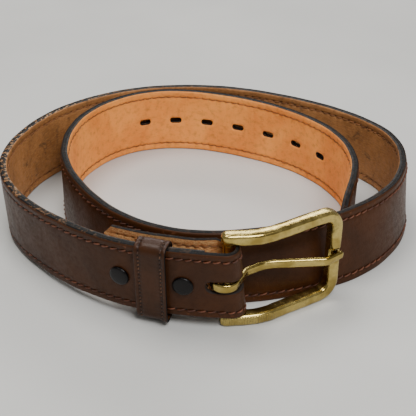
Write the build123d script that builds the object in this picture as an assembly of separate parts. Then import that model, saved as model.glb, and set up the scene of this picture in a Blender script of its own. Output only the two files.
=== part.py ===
"""Leather belt lying coiled on its edge, about 1.7 turns, with a heel-bar buckle, a keeper and two snaps.

Millimetres. +Z is up, -Y is the front (the buckle side), +X is to the right of someone facing the buckle.
The origin is the middle of the footprint, on the surface that the belt stands on.

The strap's centre line is followed by station: the distance in mm along the grain side at mid width.
Station 0 is in front of the buckle's bar. Stations grow to the left along the front, round the outer turn
and then the inner turn, to the tip. Offsets are measured square to the leather: 0 is the grain surface,
and negative goes into the leather. Heights are measured up the leather from mid width.
"""
from build123d import *
from math import cos, radians, sin, sqrt
import os

# ---- Strap section ----
STRAP_WIDTH = 38.1
FACE_THICK = 2.4
GLUE_LINE = 0.05
LINING_THICK = 1.75
STRAP_THICK = FACE_THICK + GLUE_LINE + LINING_THICK
HALF_WIDTH = STRAP_WIDTH / 2

# ---- Lie of the strap ----
START_X = 9.78
START_Y = -95.65
START_HEADING = 176.0
STATION_STEP = 50.0
TURNS = [12, 28.5, 13, 44.5, 31, 29, 27.5, 20, 14.5, 51.5, 42,
         26.5, 16.5, 48.5, 23, 31, 42.5, 52.5, 16.5, 31.5, 49.5, 3.5]   # degrees per step, at each step
LEANS = [5, 5, 5, 4, 2, 2, 2, 2, 1, 0, -7,
         -12, -10, -7, -4, 0, 1, 2.5, 2.5, 1.5, 0, 0]                   # degrees, top outward, at each step
STRAP_END = 1050.0
FRONT_LIFT = 6.5
LIFT_END = 170.0
MARCH = 1.0
EDGE_SINK = 0.2
SPAN_POINTS = 8

# ---- Fold round the bar, and the flap behind it ----
FOLD_RADIUS = 7.5
FOLD_WRAP = 200.0
FLAP_END = 66.0
FLAP_TAPER = 16.2
FLAP_DEPTH = 12.6
FLAP_CLIP = 5.0
LINING_START = 8.0
FOLD_EXIT = FOLD_RADIUS * sin(radians(FOLD_WRAP - 180))

# ---- Tongue slot, adjustment holes, tip ----
TONGUE_SLOT_REACH = 9.5
TONGUE_SLOT_REAR_REACH = 12.5
TONGUE_SLOT_HEIGHT = 6.0
FIRST_HOLE = 843.3
HOLE_SPACING = 20.3
HOLE_COUNT = 7
HOLE_LENGTH = 7.5
HOLE_HEIGHT = 3.5
TIP_LENGTH = 24.0
TIP_BLUNT = 0.7

# ---- Stitching ----
STITCH_MARGIN = 4.0
THREAD_WIDTH = 0.7
THREAD_PROUD = 0.25
THREAD_GAP = 0.02
STITCH_START = 10.0
STITCH_END = STRAP_END - TIP_LENGTH

# ---- Snaps ----
SNAP_STATIONS = [51.0, 20.0]
SNAP_CAP_R = 5.0
SNAP_CAP_RISE = 1.7
SNAP_DOME = 1.0
SNAP_BARREL_R = 1.8
SNAP_HOLE_R = 1.9
SNAP_CLINCH_R = 2.4
SNAP_CLINCH_THICK = 0.4
SNAP_SOCKET_R = 4.8
SNAP_SOCKET_DEPTH = 2.9
SNAP_BORE_R = 2.9
SNAP_KNOB_R = 2.75
SNAP_KNOB_END = STRAP_THICK + 1.6
SNAP_KNOB_BORE_END = STRAP_THICK + 2.4
SNAP_POST_R = 1.7
SNAP_POST_END = STRAP_THICK + 3.0
SNAP_FLANGE_R = 4.2
SNAP_HEAD_THICK = 0.6
SNAP_WEB = 0.8
SNAP_GAP = 0.15

# ---- Keeper ----
KEEPER_STATION = 34.5
KEEPER_WIDTH = 15.5
KEEPER_THICK = 1.6
KEEPER_CLEAR_FRONT = 1.2
KEEPER_CLEAR_BACK = 2.4
KEEPER_CLEAR_TOP = 0.6
KEEPER_CLEAR_BOTTOM = 1.6
KEEPER_BACK = STRAP_THICK + KEEPER_CLEAR_BACK
KEEPER_DEPTH = KEEPER_CLEAR_FRONT + KEEPER_BACK
KEEPER_HEIGHT = KEEPER_CLEAR_TOP + STRAP_WIDTH + KEEPER_CLEAR_BOTTOM
KEEPER_CORNER = 4.2
KEEPER_BUTT_GAP = 0.4
KEEPER_SEAM_MARGIN = 2.4
STAPLE_WIRE_R = 0.45
STAPLE_SPAN = 8.0
STAPLE_GAP = 0.05
SEAM_STOP = 14.0

# ---- Buckle ----
BAR_R = 2.5
FRAME_ANGLE = 26.0
FRAME_REACH = 56.5
FRAME_HEIGHT = 51.0
FRAME_WINDOW = 39.0
RAIL_HEIGHT = 6.0
RAIL_DEPTH = 6.6
KNEE_OUT = 15.0
KNEE_RISE = 5.2
KNEE_RADIUS = 30.0
FRAME_ROUND = 1.9
KNUCKLE_ROUND = 1.8
FRAME_CORNER_R = 7.5
NOTCH_DEPTH = 1.0

# ---- Tongue ----
RING_R = 7.1
RING_THICK = 2.3
RING_SHIFT = (-1.84, 0.79)
TONGUE_WIDTH = 4.4
TONGUE_THICK = 2.6
TONGUE_POINTS = [(3.1, 4.1), (10.5, -2.0), (22.0, -3.6), (49.5, 6.3)]
TONGUE_BENDS = [6.0, 20.0, 6.0]
TONGUE_REST_GAP = 0.15
NOTCH_CLEAR = 0.3


def smooth_step(t):
    t = min(1.0, max(0.0, t))
    return t * t * (3 - 2 * t)


def at_station(values, station):
    """Read a list given at every STATION_STEP, in straight lines between its entries."""
    place = min(max(station / STATION_STEP, 0), len(values) - 1)
    index = min(int(place), len(values) - 2)
    return values[index] + (values[index + 1] - values[index]) * (place - index)


def march_strap():
    """Walk the strap in small steps, turning clockwise, and note (x, y, heading) at each."""
    x, y, heading = START_X, START_Y, START_HEADING
    walk = [(x, y, heading)]
    for step in range(int(STRAP_END / MARCH)):
        turn = at_station(TURNS, (step + 0.5) * MARCH) * MARCH / STATION_STEP
        middle = radians(heading - turn / 2)
        x += MARCH * cos(middle)
        y += MARCH * sin(middle)
        heading -= turn
        walk.append((x, y, heading))
    return walk


WALK = march_strap()


def strap_frame(station):
    """Mid-width grain point, direction of travel, square outward direction, and direction up the leather."""
    place = min(max(station / MARCH, 0), len(WALK) - 1.001)
    index = int(place)
    share = place - index
    x, y, heading = [a + (b - a) * share for a, b in zip(WALK[index], WALK[index + 1])]
    lean = radians(at_station(LEANS, station))
    lift = FRONT_LIFT * (1 - smooth_step(station / LIFT_END))
    way = radians(heading)
    travel = Vector(cos(way), sin(way), 0)
    side = Vector(-sin(way), cos(way), 0)
    up = side * sin(lean) + Vector(0, 0, cos(lean))
    outward = side * cos(lean) - Vector(0, 0, sin(lean))
    middle = Vector(x, y, lift + HALF_WIDTH * cos(lean))
    return middle, travel, outward, up


def strap_point(station, offset, height):
    middle, _, outward, up = strap_frame(station)
    return middle + outward * offset + up * height


def strap_plane(station, offset=0.0):
    """A plane on the strap: its x runs along the strap, its y up the leather, its z outward."""
    middle, travel, outward, up = strap_frame(station)
    return Plane(origin=middle + outward * offset, x_dir=travel * -1, z_dir=outward)


BAR_X = START_X + FOLD_RADIUS * sin(radians(START_HEADING))
BAR_Y = START_Y - FOLD_RADIUS * cos(radians(START_HEADING))
BAR_Z = FRAME_HEIGHT / 2


def fold_point(angle, offset, height):
    """A point on the fold, at an angle turned round the bar from the front towards the flap."""
    middle, _, _, up = strap_frame(0)
    lean = radians(at_station(LEANS, 0))
    way = radians(START_HEADING - 90 + 180 + angle)
    side = Vector(cos(way), sin(way), 0)
    outward = side * cos(lean) - Vector(0, 0, sin(lean) * cos(radians(angle)))
    axis = Vector(BAR_X, BAR_Y, middle.Z)
    return axis + side * FOLD_RADIUS + outward * offset + up * height


def flap_offset(station):
    """How far the flap's grain lies behind the front strap's grain."""
    start = FOLD_RADIUS * (1 - cos(radians(FOLD_WRAP)))
    left = max(0.0, 1 - max(0.0, station - FOLD_EXIT) / FLAP_TAPER)
    return FLAP_DEPTH + (start - FLAP_DEPTH) * left ** 2


def rail_edges(rail):
    """Smooth edges along a rail, SPAN_POINTS intervals each, meeting in a common tangent."""
    tangents = [after - before for before, after in zip(rail[:1] + rail, rail[1:] + rail[-1:])]
    starts = range(0, len(rail) - 1, SPAN_POINTS)
    edges = []
    for start in starts:
        end = min(start + SPAN_POINTS, len(rail) - 1)
        count = end - start
        shares = [i / count for i in range(count + 1)]
        ends = [tangents[start].normalized(), tangents[end].normalized()]
        edges.append(Edge.make_spline(rail[start : end + 1], tangents=ends, parameters=shares))
    return edges


def ribbon(rails):
    """A closed strip of leather from four lists of points: outer low, outer high, inner high, inner low."""
    sides = [rail_edges(rail) for rail in rails]
    faces = []
    for one, two in zip(sides, sides[1:] + sides[:1]):
        faces += [Face.make_surface_from_curves(a, b) for a, b in zip(one, two)]
    for end in (0, -1):
        faces.append(Face(Wire.make_polygon([rail[end] for rail in rails])))
    return Solid(Shell(faces))


def half_width(place, station):
    """Half the leather's width, falling along an ellipse at the tip and cut across the flap's corners."""
    if place is strap_point:
        past = max(0.0, station - STRAP_END + TIP_LENGTH) / TIP_LENGTH
        return HALF_WIDTH * sqrt(1 - past ** 2)
    if place is flap_point:
        return HALF_WIDTH - max(0.0, station - FLAP_END + FLAP_CLIP)
    return HALF_WIDTH


def ply_rails(stops, outer, inner):
    """The four rails of a ply; each stop is a function that places a point, and its station."""
    corners = [(outer, -1), (outer, 1), (inner, 1), (inner, -1)]
    rails = []
    for offset, side in corners:
        rail = []
        for place, at in stops:
            sink = EDGE_SINK * smooth_step(at / LIFT_END) if place is strap_point and side < 0 else 0
            rail.append(place(at, offset, side * half_width(place, at) - sink))
        rails.append(rail)
    return rails


def strap_stops(start):
    """Stations from a start to the tip, closer together where the tip narrows."""
    tip = STRAP_END - TIP_LENGTH
    stations = spread(start, tip, 6.0)[:-1] + spread(tip, STRAP_END - TIP_BLUNT, 2.0)
    return [(strap_point, station) for station in stations]


def spread(start, end, step):
    count = max(2, round((end - start) / step))
    return [start + (end - start) * i / count for i in range(count + 1)]


def above_floor(solid):
    """Flatten the edge that the belt stands on."""
    floor = Box(400, 400, 20, align=(Align.CENTER, Align.CENTER, Align.MAX))
    return solid - floor


def slot_prism(plane, length, height, depth):
    with BuildPart() as prism:
        with BuildSketch(plane):
            SlotOverall(length, height)
        extrude(amount=depth, both=True)
    return prism.part


def tongue_slot(reach, outward):
    """The slot from the fold into the front, or into the flap, with a rounded end."""
    length = reach + 2 * FOLD_RADIUS
    middle_z = strap_frame(0)[0].Z
    plane = Plane(origin=(BAR_X, BAR_Y, middle_z), x_dir=(1, 0, 0), z_dir=(0, -1, 0))
    slot = plane * Pos(length / 2 - reach, 0) * SlotOverall(length, TONGUE_SLOT_HEIGHT)
    return extrude(slot, amount=outward * 2 * FOLD_RADIUS)


def leather_cuts():
    """Everything punched through the strap."""
    cuts = [tongue_slot(TONGUE_SLOT_REACH, 1), tongue_slot(TONGUE_SLOT_REAR_REACH, -1)]
    for index in range(HOLE_COUNT):
        middle = strap_plane(FIRST_HOLE + index * HOLE_SPACING, -STRAP_THICK / 2)
        cuts.append(slot_prism(middle, HOLE_LENGTH, HOLE_HEIGHT, 0.8 * STRAP_THICK))
    for station in SNAP_STATIONS:
        cuts.append(drum(station, -FLAP_DEPTH - 3, 3, SNAP_HOLE_R))
    return cuts


def drum(station, low, high, radius):
    """A cylinder square to the front strap, between two offsets."""
    base = strap_plane(station, low)
    return extrude(base * Circle(radius), amount=high - low)


def punched(solid, cuts):
    for cut in cuts:
        solid = solid - cut
    return solid


def flap_point(station, offset, height):
    return strap_point(station, -flap_offset(station) - offset, height)


def make_strap_face(cuts):
    """The outer ply, in one length: flap, fold, front, two turns and tip."""
    corner = FLAP_END - FLAP_CLIP
    flap = spread(FOLD_EXIT + 3, corner, 5.0)[:-1] + spread(corner, FLAP_END, 2.5)
    stops = [(flap_point, station) for station in reversed(flap)]
    stops += [(fold_point, angle) for angle in reversed(spread(10, FOLD_WRAP, 10.0))]
    stops += strap_stops(0)
    return punched(above_floor(ribbon(ply_rails(stops, 0, -FACE_THICK))), cuts)


def make_strap_lining(cuts):
    """The inner ply, from just past the fold to the tip."""
    rails = ply_rails(strap_stops(LINING_START), -FACE_THICK - GLUE_LINE, -STRAP_THICK)
    return punched(above_floor(ribbon(rails)), cuts)


def make_stitch_row(side):
    """One row of thread, lying on the grain."""
    high = side * (HALF_WIDTH - STITCH_MARGIN) + THREAD_WIDTH / 2
    low = high - THREAD_WIDTH
    near = THREAD_GAP
    far = THREAD_GAP + THREAD_PROUD
    stations = spread(STITCH_START, STITCH_END, 6.0)
    corners = [(far, low), (far, high), (near, high), (near, low)]
    return ribbon([[strap_point(station, *corner) for station in stations] for corner in corners])


def make_snap_cap(station):
    """The cap seen at the front, with its barrel through the strap, clinched in the socket."""
    dome_radius = (SNAP_CAP_R ** 2 + SNAP_DOME ** 2) / (2 * SNAP_DOME)
    dome = Sphere(dome_radius)
    dome = strap_plane(station, SNAP_CAP_RISE - dome_radius) * dome
    cap = drum(station, 0.05, SNAP_CAP_RISE, SNAP_CAP_R) & dome
    seat = -STRAP_THICK - SNAP_WEB - 2 * SNAP_GAP
    barrel = drum(station, seat, SNAP_GAP, SNAP_BARREL_R)
    clinch = drum(station, seat - SNAP_CLINCH_THICK, seat, SNAP_CLINCH_R)
    return cap + barrel + clinch


def make_snap_socket(station):
    top = -STRAP_THICK - SNAP_GAP
    mouth = top - SNAP_SOCKET_DEPTH
    shell = drum(station, mouth, top, SNAP_SOCKET_R)
    bore = drum(station, mouth - 1, top - SNAP_WEB, SNAP_BORE_R)
    return shell - bore - drum(station, mouth, top + 1, SNAP_HOLE_R)


def make_snap_stud(station):
    seat = -flap_offset(station) + FACE_THICK + SNAP_GAP
    flange = drum(station, seat, seat + SNAP_WEB, SNAP_FLANGE_R)
    knob = drum(station, seat, -SNAP_KNOB_END, SNAP_KNOB_R)
    return flange + knob - drum(station, seat - 1, -SNAP_KNOB_BORE_END, SNAP_BARREL_R)


def make_snap_post(station):
    seat = -flap_offset(station) - SNAP_GAP
    head = drum(station, seat - SNAP_HEAD_THICK, seat, SNAP_FLANGE_R)
    return head + drum(station, seat - SNAP_GAP, -SNAP_POST_END, SNAP_POST_R)


def keeper_loop(grow, low, high):
    """The keeper's outline grown by an amount, extruded between two places along the strap."""
    middle, travel, outward, up = strap_frame(KEEPER_STATION)
    shift = outward * (KEEPER_CLEAR_FRONT - KEEPER_DEPTH / 2)
    drop = up * ((KEEPER_CLEAR_TOP - KEEPER_CLEAR_BOTTOM) / 2)
    origin = middle + shift + drop - travel * high
    plane = Plane(origin=origin, x_dir=outward, z_dir=travel)
    corner = KEEPER_CORNER - KEEPER_THICK + grow
    outline = RectangleRounded(KEEPER_DEPTH + 2 * grow, KEEPER_HEIGHT + 2 * grow, corner)
    return extrude(plane * outline, amount=high - low)


def keeper_ring(inner, outer, low, high):
    return keeper_loop(outer, low, high) - keeper_loop(inner, low - 1, high + 1)


def keeper_back_box(width, low_offset, high_offset):
    """A block at the middle of the keeper's back, for its butted ends."""
    base = strap_plane(KEEPER_STATION, -KEEPER_BACK - high_offset)
    return extrude(base * Rectangle(KEEPER_WIDTH + 2, width), amount=high_offset - low_offset)


def staple_legs(radius):
    """Two round legs from the staple's crown to just short of the keeper's inner face."""
    base = strap_plane(KEEPER_STATION, -KEEPER_BACK - KEEPER_THICK - STAPLE_GAP)
    spots = Locations((0, STAPLE_SPAN / 2), (0, -STAPLE_SPAN / 2))
    return [extrude(base * spot * Circle(radius), amount=KEEPER_THICK) for spot in spots]


def make_keeper_band():
    half = KEEPER_WIDTH / 2
    band = keeper_ring(0, KEEPER_THICK, -half, half)
    band -= keeper_back_box(KEEPER_BUTT_GAP, -1, KEEPER_THICK + 1)
    for leg in staple_legs(STAPLE_WIRE_R + STAPLE_GAP):
        band -= leg
    return band


def make_keeper_staple():
    """A wire staple across the butted ends, its crown on the outside."""
    legs = staple_legs(STAPLE_WIRE_R)
    wire = 2 * STAPLE_WIRE_R
    base = strap_plane(KEEPER_STATION, -KEEPER_BACK - KEEPER_THICK - STAPLE_GAP - wire)
    crown = extrude(base * RectangleRounded(wire, STAPLE_SPAN + wire, 0.9 * STAPLE_WIRE_R), amount=wire)
    return crown + legs[0] + legs[1]


def make_keeper_seam(side):
    """A row of thread round the keeper, near one edge, stopping at the butted ends."""
    middle = side * (KEEPER_WIDTH / 2 - KEEPER_SEAM_MARGIN)
    inner = KEEPER_THICK + THREAD_GAP
    seam = keeper_ring(inner, inner + THREAD_PROUD, middle - THREAD_WIDTH / 2, middle + THREAD_WIDTH / 2)
    return seam - keeper_back_box(SEAM_STOP, -1, KEEPER_THICK + 3)


def frame_plane():
    """Origin at the middle of the bar; x along the frame, y up, z outward."""
    angle = radians(FRAME_ANGLE)
    along = (cos(angle), sin(angle), 0)
    return Plane(origin=(BAR_X, BAR_Y, BAR_Z), x_dir=along, z_dir=(sin(angle), -cos(angle), 0))


def side_plane():
    """The same origin, for outlines seen from the end of the bar: x along the frame, y outward."""
    angle = radians(FRAME_ANGLE)
    return Plane(origin=(BAR_X, BAR_Y, BAR_Z), x_dir=(cos(angle), sin(angle), 0), z_dir=(0, 0, -1))


def bar_cylinder(radius, length):
    return Pos(BAR_X, BAR_Y, BAR_Z) * Cylinder(radius, length)


def make_buckle_frame():
    """Two arched rails and an end bar, cast in one with the bar that the strap folds round."""
    rail_z = (FRAME_WINDOW + RAIL_HEIGHT) / 2
    left = -RAIL_DEPTH / 2
    upper = [
        (left, rail_z, left * KNEE_RISE / KNEE_OUT),
        (KNEE_OUT, rail_z, KNEE_RISE),
        (FRAME_REACH, rail_z, 0),
    ]
    lower = [(x, -y, z) for x, y, z in reversed(upper)]
    radii = [KNEE_RADIUS, FRAME_CORNER_R, FRAME_CORNER_R, KNEE_RADIUS]
    path = FilletPolyline(*upper, *lower, radius=radii)
    start = Plane(origin=path @ 0, z_dir=path % 0, x_dir=(0, 1, 0))
    rails = sweep(start * RectangleRounded(RAIL_HEIGHT, RAIL_DEPTH, FRAME_ROUND), path=path)
    knuckles = [face for face in rails.faces() if face.center().X < left + 1]
    rails = fillet([edge for face in knuckles for edge in face.edges()], KNUCKLE_ROUND)
    frame = frame_plane() * rails + bar_cylinder(BAR_R, FRAME_WINDOW + 2)
    notch = Box(12, TONGUE_WIDTH + 2 * NOTCH_CLEAR, 2 * NOTCH_DEPTH)
    return frame - frame_plane() * Pos(FRAME_REACH, 0, RAIL_DEPTH / 2) * notch


def make_buckle_tongue():
    """A shank with its root bent into a loose ring round the bar; its tip lies in the end bar's notch."""
    rest = RAIL_DEPTH / 2 - NOTCH_DEPTH + TONGUE_THICK / 2 + TONGUE_REST_GAP
    points = TONGUE_POINTS + [(FRAME_REACH + RAIL_HEIGHT / 2 + NOTCH_CLEAR, rest)]
    shank = trace(FilletPolyline(*points, radius=TONGUE_BENDS), line_width=TONGUE_THICK)
    tip = Pos(*points[-1]) * Circle(TONGUE_THICK / 2)
    ring = Pos(*RING_SHIFT)
    outline = shank + tip + ring * Circle(RING_R) - ring * Circle(RING_R - RING_THICK)
    return extrude(side_plane() * outline, amount=TONGUE_WIDTH / 2, both=True)


def build():
    """Every piece by name."""
    cuts = leather_cuts()
    pieces = {
        "strap_face": make_strap_face(cuts),
        "strap_lining": make_strap_lining(cuts),
        "upper_stitching": make_stitch_row(1),
        "lower_stitching": make_stitch_row(-1),
        "keeper_band": make_keeper_band(),
        "keeper_staple": make_keeper_staple(),
        "keeper_stitching_left": make_keeper_seam(-1),
        "keeper_stitching_right": make_keeper_seam(1),
        "buckle_frame": make_buckle_frame(),
        "buckle_tongue": make_buckle_tongue(),
    }
    for number, station in enumerate(SNAP_STATIONS, start=1):
        pieces[f"snap_{number}_cap"] = make_snap_cap(station)
        pieces[f"snap_{number}_socket"] = make_snap_socket(station)
        pieces[f"snap_{number}_stud"] = make_snap_stud(station)
        pieces[f"snap_{number}_post"] = make_snap_post(station)
    return pieces


def main():
    os.makedirs("parts", exist_ok=True)
    for name, piece in build().items():
        export_step(piece, f"parts/{name}.step")


main()
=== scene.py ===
"""The looks of a leather belt that lies coiled on its edge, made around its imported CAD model.

Lengths in this file are millimetres, and make_mesh() turns them into metres; only the camera's and the
lights' are metres from the start. The leather's own coordinates are (along, across, offset). Along is the
station on the front and round both turns, from 0 at the buckle's bar, and it goes below 0 round the fold
and then along the flap. Across is the height from mid width, and offset is square to the grain, negative
into the leather.
"""
import math
import random

import bpy
import numpy as np
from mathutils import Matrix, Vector


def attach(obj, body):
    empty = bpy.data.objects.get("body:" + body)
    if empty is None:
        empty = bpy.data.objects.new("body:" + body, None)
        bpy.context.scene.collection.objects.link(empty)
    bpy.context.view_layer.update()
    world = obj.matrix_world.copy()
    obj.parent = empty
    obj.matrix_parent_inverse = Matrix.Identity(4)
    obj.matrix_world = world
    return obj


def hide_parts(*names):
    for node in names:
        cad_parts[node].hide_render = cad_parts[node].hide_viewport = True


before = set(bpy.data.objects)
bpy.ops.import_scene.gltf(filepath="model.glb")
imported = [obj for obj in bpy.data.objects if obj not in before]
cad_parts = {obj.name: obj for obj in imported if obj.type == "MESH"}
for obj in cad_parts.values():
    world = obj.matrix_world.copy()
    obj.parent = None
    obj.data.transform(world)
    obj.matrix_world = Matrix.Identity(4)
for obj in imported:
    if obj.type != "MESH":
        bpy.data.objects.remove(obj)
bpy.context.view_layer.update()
MM = 0.001

# ---- Strap ----
STRAP_WIDTH = 38.1
HALF_WIDTH = STRAP_WIDTH / 2
FACE_THICK = 2.4
GLUE_LINE = 0.05
LINING_THICK = 1.75
STRAP_THICK = FACE_THICK + GLUE_LINE + LINING_THICK
START_X = 9.78
START_Y = -95.65
START_HEADING = 176.0
STATION_STEP = 50.0
TURNS = [12, 28.5, 13, 44.5, 31, 29, 27.5, 20, 14.5, 51.5, 42,
         26.5, 16.5, 48.5, 23, 31, 42.5, 52.5, 16.5, 31.5, 49.5, 3.5]   # degrees per step, at each step
LEANS = [5, 5, 5, 4, 2, 2, 2, 2, 1, 0, -7,
         -12, -10, -7, -4, 0, 1, 2.5, 2.5, 1.5, 0, 0]                   # degrees, top outward, at each step
STRAP_END = 1050.0
FRONT_LIFT = 6.5
LIFT_END = 170.0
TIP_LENGTH = 24.0

# ---- Fold and flap ----
FOLD_RADIUS = 7.5
FOLD_WRAP = 200.0
FOLD_LENGTH = FOLD_RADIUS * math.radians(FOLD_WRAP)
FOLD_SKEW = 0.1
SKEW_REACH = 28.0                        # along the front and the flap from the fold
FOLD_EXIT = FOLD_RADIUS * math.sin(math.radians(FOLD_WRAP - 180))
FLAP_END = 66.0
FLAP_TAPER = 16.2
FLAP_DEPTH = 12.6
FLAP_CLIP = 5.0
FLAP_ALONG = -FOLD_LENGTH - (FLAP_END - FOLD_EXIT)
LINING_START = 8.0

# ---- Holes ----
FIRST_HOLE = 843.3
HOLE_SPACING = 20.3
HOLE_COUNT = 7
HOLE_LENGTH = 7.5
HOLE_HEIGHT = 3.5
SLOT_HEIGHT = 7.1                        # 6.0 in the CAD; at 6.6 the turning tongue still clips the leather
SLOT_FRONT = 9.8
SLOT_REAR = -FOLD_LENGTH - 12.5

# ---- Stitching ----
STITCH_MARGIN = 4.0
STITCH_LINE = HALF_WIDTH - STITCH_MARGIN
STITCH_START = 10.0
STITCH_END = STRAP_END - TIP_LENGTH
STITCH_COUNT = 223
FLAP_STITCHES = 18                       # more of them, on the fold and the flap
STITCH_PITCH = (STITCH_END - STITCH_START) / STITCH_COUNT

# ---- Snaps ----
SNAP_STATIONS = [51.0, 20.0]
CAP_LIFT = 0.05
HEAD_LIFT = 0.1

# ---- Keeper ----
KEEPER_STATION = 34.5
KEEPER_WIDTH = 15.5
KEEPER_THICK = 1.6
KEEPER_FRONT = 1.2
KEEPER_BACK = STRAP_THICK + 2.4
KEEPER_TOP = HALF_WIDTH + 0.6
KEEPER_BOTTOM = HALF_WIDTH + 1.6
KEEPER_CORNER = 4.2
KEEPER_GAP = 0.4
KEEPER_PITCH = 2.2
KEEPER_SEAM = KEEPER_WIDTH / 2 - 2.4
KEEPER_SEAM_START = 7.0
KEEPER_EDGE_ROUND = 0.65
KEEPER_INSIDE = 40.0                     # added to across inside, so that both sides differ in texture
STAPLE_HALF = 4.0
STAPLE_WIRE_R = 0.45
STAPLE_BEND = 0.7
STAPLE_SIDES = 12

# ---- Buckle ----
BAR_R = 2.5
BAR_Z = 25.5
BAR_X = START_X + FOLD_RADIUS * math.sin(math.radians(START_HEADING))
BAR_Y = START_Y - FOLD_RADIUS * math.cos(math.radians(START_HEADING))
FRAME_ANGLE = math.radians(26.0)
FRAME_REACH = 56.5
FRAME_WINDOW = 39.0
RAIL_HEIGHT = 6.0
RAIL_DEPTH = 6.6
RAIL_ROUND = 1.75
RAIL_END_LENGTH = 3.4
KNEE_OUT = 15.0
KNEE_RISE = 5.2
KNEE_BEND = 30.0
CORNER_BEND = 7.5
BAR_SUNK = 1.2                           # how far the bar runs into each rail
BAR_RINGS = 30
BAR_SIDES = 32
RING_R = 7.1
RING_THICK = 2.3
RING_SHIFT = np.array([-1.84, 0.79])
RING_ENTRY = 350.0
RING_LEAVE = 50.0
TONGUE_WIDTH = 4.4
TONGUE_THICK = 2.6
TONGUE_ROUND = 1.05
TONGUE_TIP = 3.3                         # past the end bar's middle
TONGUE_BENDS = [(10.5, -2.0), (22.0, -3.6), (49.5, 6.3)]
TONGUE_END_LENGTH = 1.3
NOTCH_DEPTH = 1.0
NOTCH_CLEARANCE = 0.15
SWEEP_STEP = 0.6


# ---- The leather's line ----

def smooth_step(t):
    """0 below 0 and 1 above 1, eased between."""
    t = np.clip(t, 0.0, 1.0)
    return t * t * (3 - 2 * t)


def walk_strap():
    """Station, x, y and heading at every millimetre of the strap."""
    steps = np.arange(0.5, STRAP_END)
    turns = np.interp(steps / STATION_STEP, range(len(TURNS)), TURNS) / STATION_STEP
    headings = START_HEADING - np.concatenate([[0], np.cumsum(turns)])
    ways = np.radians(headings[:-1] - turns / 2)
    x = START_X + np.concatenate([[0], np.cumsum(np.cos(ways))])
    y = START_Y + np.concatenate([[0], np.cumsum(np.sin(ways))])
    return np.arange(len(x)), x, y, headings


WALK = walk_strap()


def pile(*columns):
    """Points or vectors from their coordinates, each a number or an array."""
    return np.stack(np.broadcast_arrays(*columns), axis=-1)


def strap_axes(station):
    """Mid-width grain points, outward directions and up directions, for an array of stations."""
    x, y, heading = [np.interp(station, WALK[0], values) for values in WALK[1:]]
    lean = np.radians(np.interp(np.asarray(station) / STATION_STEP, range(len(LEANS)), LEANS))
    way = np.radians(heading)
    side = pile(-np.sin(way), np.cos(way), 0 * way)
    rise = pile(0 * way, 0 * way, 1 + 0 * way)
    up = side * np.sin(lean)[..., None] + rise * np.cos(lean)[..., None]
    outward = side * np.cos(lean)[..., None] - rise * np.sin(lean)[..., None]
    lift = FRONT_LIFT * (1 - smooth_step(np.asarray(station) / LIFT_END))
    return pile(x, y, lift + HALF_WIDTH * np.cos(lean)), outward, up


def flap_depth(station):
    """How far behind the front's grain the flap's grain lies; it starts at the fold's exit."""
    start = FOLD_RADIUS * (1 - math.cos(math.radians(FOLD_WRAP)))
    left = np.clip(1 - (station - FOLD_EXIT) / FLAP_TAPER, 0, 1)
    return FLAP_DEPTH + (start - FLAP_DEPTH) * left ** 2


def leather_axes(along):
    """The same three, for the whole leather: front and turns, fold, and flap."""
    along = np.asarray(along, float)
    middle, outward, up = strap_axes(np.maximum(along, 0))
    angle = np.clip(-along / FOLD_RADIUS, 0, math.radians(FOLD_WRAP))
    lean = math.radians(LEANS[0])
    way = np.radians(START_HEADING + 90) + angle
    side = pile(np.cos(way), np.sin(way), 0 * way)
    fold_middle = pile(BAR_X, BAR_Y, middle[..., 2]) + side * FOLD_RADIUS
    fold_outward = side * math.cos(lean) - pile(0 * way, 0 * way, math.sin(lean) * np.cos(angle))
    flap_station = np.clip(FOLD_EXIT - along - FOLD_LENGTH, FOLD_EXIT, FLAP_END + 1)
    behind, behind_outward, behind_up = strap_axes(flap_station)
    flap_middle = behind - behind_outward * flap_depth(flap_station)[..., None]
    on_fold = ((along < 0) & (along >= -FOLD_LENGTH))[..., None]
    on_flap = (along < -FOLD_LENGTH)[..., None]
    middle = np.where(on_fold, fold_middle, np.where(on_flap, flap_middle, middle))
    outward = np.where(on_fold, fold_outward, np.where(on_flap, -behind_outward, outward))
    return middle, outward, np.where(on_flap, behind_up, up)


def leather_point(along, across, offset):
    """Points on or in the leather; the three arrays are broadcast together."""
    along, across, offset = np.broadcast_arrays(along, across, offset)
    middle, outward, up = leather_axes(along)
    before = smooth_step((SKEW_REACH - along) / SKEW_REACH)
    after = smooth_step((along + FOLD_LENGTH + SKEW_REACH) / SKEW_REACH)
    skew = -FOLD_SKEW * across * before * after
    return middle + outward * offset[..., None] + up * across[..., None] + pile(skew, 0 * skew, 0 * skew)


# ---- Mesh making ----

LATHE_SIDES = 48
THREAD_SIDES = 6


def add_object(name, data):
    made = bpy.data.objects.new(name, data)
    bpy.context.scene.collection.objects.link(made)
    return made


def circle(count):
    """Angles of evenly spaced points round a circle."""
    return np.linspace(0, 2 * math.pi, count, endpoint=False)


def make_mesh(name, points, faces, materials, face_slots=None, **attributes):
    """A smooth-shaded object from points in millimetres; each attribute has one number for each point."""
    mesh = bpy.data.meshes.new(name)
    mesh.from_pydata((np.asarray(points, float).reshape(-1, 3) * MM).tolist(), [], faces)
    for key, values in attributes.items():
        made = mesh.attributes.new(key, "FLOAT", "POINT")
        made.data.foreach_set("value", np.asarray(values, np.float32).ravel())
    for material in materials:
        mesh.materials.append(material)
    if face_slots is not None:
        mesh.polygons.foreach_set("material_index", face_slots)
    mesh.shade_smooth()
    mesh.update()
    return add_object(name, mesh)


def finish_piece(piece, body, slot, *nodes):
    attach(piece, body)
    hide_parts(*nodes)


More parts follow.
